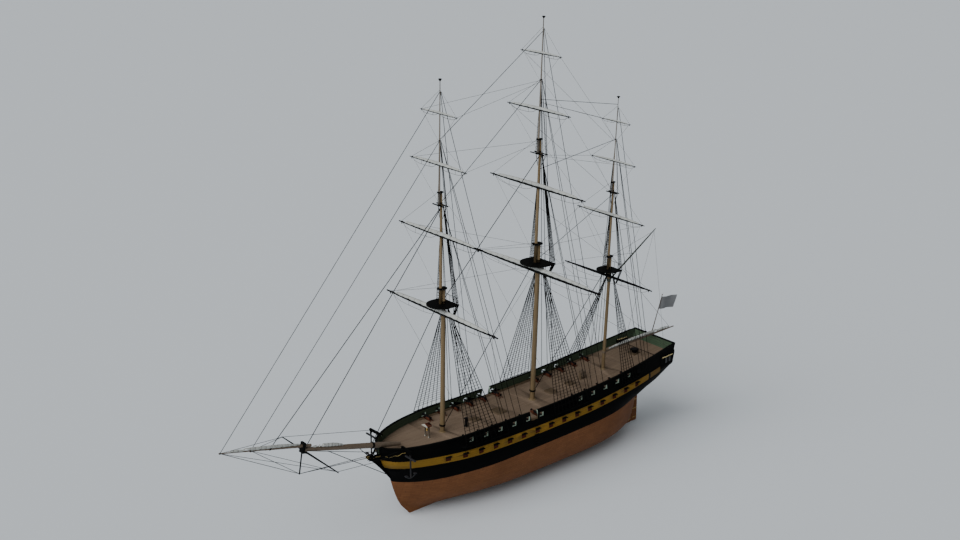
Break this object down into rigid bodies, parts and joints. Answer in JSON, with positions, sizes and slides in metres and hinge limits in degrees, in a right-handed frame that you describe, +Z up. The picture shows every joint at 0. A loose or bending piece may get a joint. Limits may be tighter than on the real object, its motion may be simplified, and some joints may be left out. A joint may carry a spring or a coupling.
{
  "type": "three-masted sailing frigate 1:10 scale model",
  "caption": "Full-rigged wooden sailing warship with a copper bottom, an ochre band of gun ports, furled sails, yards that brace round, a boom, a gaff and a rudder, as a scale model.",
  "frame": {"origin": "amidships on the centreline, at the height of the water that the ship floats in", "axes": "+X towards the bow, +Y to port, +Z up"},
  "size_m": [9.1085, 2.904, 7.2644],
  "materials": {
    "copper_bottom": "copper sheathing, dull and patchy",
    "black_paint": "black paint, satin",
    "ochre_paint": "ochre paint, satin",
    "deck_planks": "bare planks, matt",
    "guns": "red painted slides and carriages with dark barrels",
    "anchor_iron": "dark iron, matt",
    "varnished_wood": "oiled wood, satin",
    "black_spars": "black paint, satin",
    "canvas": "weathered canvas, matt",
    "tarred_rope": "tarred rope, matt",
    "ensign_cloth": "plain bunting, matt"
  },
  "bodies": {
    "hull": {"hull_bottom": "copper_bottom", "hull_wale": "black_paint", "gun_band": "ochre_paint", "spar_deck": "deck_planks", "bulwark_port": "black_paint", "bulwark_starboard": "black_paint", "transom": "black_paint", "stern_gallery": "black_paint", "stem_knee": "black_paint", "carronades_port": "guns", "carronades_starboard": "guns", "belfry": "varnished_wood", "wheel_stand": "varnished_wood", "anchor_port": "anchor_iron", "anchor_starboard": "anchor_iron", "fore_lower_mast": "varnished_wood", "fore_top": "black_paint", "fore_topmast": "varnished_wood", "fore_topgallant_mast": "varnished_wood", "main_lower_mast": "varnished_wood", "main_top": "black_paint", "main_topmast": "varnished_wood", "main_topgallant_mast": "varnished_wood", "mizzen_lower_mast": "varnished_wood", "mizzen_top": "black_paint", "mizzen_topmast": "varnished_wood", "mizzen_topgallant_mast": "varnished_wood", "bowsprit": "varnished_wood", "jib_boom": "varnished_wood", "bowsprit_cap": "black_paint", "fore_staysail_furled": "canvas", "jib_furled": "canvas", "ensign_staff": "varnished_wood", "ensign": "ensign_cloth", "fore_stay": "tarred_rope", "main_stay": "tarred_rope", "mizzen_stay": "tarred_rope"},
    "fore_course_yard": {"fore_course_yard": "black_spars", "fore_course_furled": "canvas"},
    "fore_topsail_yard": {"fore_topsail_yard": "black_spars", "fore_topsail_furled": "canvas"},
    "fore_topgallant_yard": {"fore_topgallant_yard": "black_spars"},
    "fore_royal_yard": {"fore_royal_yard": "black_spars"},
    "main_course_yard": {"main_course_yard": "black_spars", "main_course_furled": "canvas"},
    "main_topsail_yard": {"main_topsail_yard": "black_spars", "main_topsail_furled": "canvas"},
    "main_topgallant_yard": {"main_topgallant_yard": "black_spars"},
    "main_royal_yard": {"main_royal_yard": "black_spars"},
    "mizzen_crossjack_yard": {"mizzen_crossjack_yard": "black_spars"},
    "mizzen_topsail_yard": {"mizzen_topsail_yard": "black_spars", "mizzen_topsail_furled": "canvas"},
    "mizzen_topgallant_yard": {"mizzen_topgallant_yard": "black_spars"},
    "mizzen_royal_yard": {"mizzen_royal_yard": "black_spars"},
    "spanker_boom": {"spanker_boom": "varnished_wood", "spanker_furled": "canvas"},
    "gaff": {"gaff": "varnished_wood"},
    "rudder": {"rudder": "copper_bottom"},
    "helm_wheel": {"helm_wheel": "varnished_wood"},
    "capstan": {"capstan": "black_paint"}
  },
  "joints": [
    {"name": "fore_course_brace", "type": "hinge", "parent": "hull", "child": "fore_course_yard", "pos_m": [1.62719, 0, 2.448], "axis": [-0.0209, 0, 0.9998], "range_deg": [-30, 30]},
    {"name": "fore_topsail_brace", "type": "hinge", "parent": "hull", "child": "fore_topsail_yard", "pos_m": [1.65682, 0, 3.65615], "axis": [-0.0209, 0, 0.9998], "range_deg": [-35, 35]},
    {"name": "fore_topgallant_brace", "type": "hinge", "parent": "hull", "child": "fore_topgallant_yard", "pos_m": [1.67047, 0, 4.7089], "axis": [-0.0209, 0, 0.9998], "range_deg": [-35, 35]},
    {"name": "fore_royal_brace", "type": "hinge", "parent": "hull", "child": "fore_royal_yard", "pos_m": [1.65499, 0, 5.4479], "axis": [-0.0209, 0, 0.9998], "range_deg": [-35, 35]},
    {"name": "main_course_brace", "type": "hinge", "parent": "hull", "child": "main_course_yard", "pos_m": [-0.26052, 0, 2.696], "axis": [-0.0366, 0, 0.9993], "range_deg": [-30, 30]},
    {"name": "main_topsail_brace", "type": "hinge", "parent": "hull", "child": "main_topsail_yard", "pos_m": [-0.24964, 0, 4.04421], "axis": [-0.0366, 0, 0.9993], "range_deg": [-35, 35]},
    {"name": "main_topgallant_brace", "type": "hinge", "parent": "hull", "child": "main_topgallant_yard", "pos_m": [-0.25431, 0, 5.23664], "axis": [-0.0366, 0, 0.9993], "range_deg": [-35, 35]},
    {"name": "main_royal_brace", "type": "hinge", "parent": "hull", "child": "main_royal_yard", "pos_m": [-0.28504, 0, 6.07464], "axis": [-0.0366, 0, 0.9993], "range_deg": [-35, 35]},
    {"name": "mizzen_crossjack_brace", "type": "hinge", "parent": "hull", "child": "mizzen_crossjack_yard", "pos_m": [-1.86099, 0, 2.246], "axis": [-0.0489, 0, 0.9988], "range_deg": [-30, 30]},
    {"name": "mizzen_topsail_brace", "type": "hinge", "parent": "hull", "child": "mizzen_topsail_yard", "pos_m": [-1.86817, 0, 3.27009], "axis": [-0.0489, 0, 0.9988], "range_deg": [-35, 35]},
    {"name": "mizzen_topgallant_brace", "type": "hinge", "parent": "hull", "child": "mizzen_topgallant_yard", "pos_m": [-1.88418, 0, 4.17447], "axis": [-0.0489, 0, 0.9988], "range_deg": [-35, 35]},
    {"name": "mizzen_royal_brace", "type": "hinge", "parent": "hull", "child": "mizzen_royal_yard", "pos_m": [-1.91528, 0, 4.81047], "axis": [-0.0489, 0, 0.9988], "range_deg": [-35, 35]},
    {"name": "spanker_boom_swing", "type": "hinge", "parent": "hull", "child": "spanker_boom", "pos_m": [-1.79502, 0, 0.897], "axis": [-0.0489, 0, 0.9988], "range_deg": [-50, 0]},
    {"name": "gaff_swing", "type": "hinge", "parent": "hull", "child": "gaff", "pos_m": [-1.8563, 0, 2.15], "axis": [-0.0489, 0, 0.9988], "range_deg": [-35, 35]},
    {"name": "rudder_hinge", "type": "hinge", "parent": "hull", "child": "rudder", "pos_m": [-2.49722, 0, -0.596], "axis": [-0.0527, 0, 0.9986], "range_deg": [-35, 35]},
    {"name": "helm_wheel_turn", "type": "hinge", "parent": "hull", "child": "helm_wheel", "pos_m": [-1.3, 0, 0.64575], "axis": [1, 0, 0], "range_deg": [-430, 430]},
    {"name": "capstan_turn", "type": "hinge", "parent": "hull", "child": "capstan", "pos_m": [-2.54, 0, 0.68976], "axis": [0, 0, 1], "continuous": true}
  ],
  "couplings": [
    {"joint": "helm_wheel_turn", "follows": "rudder_hinge", "ratio": -12}
  ]
}
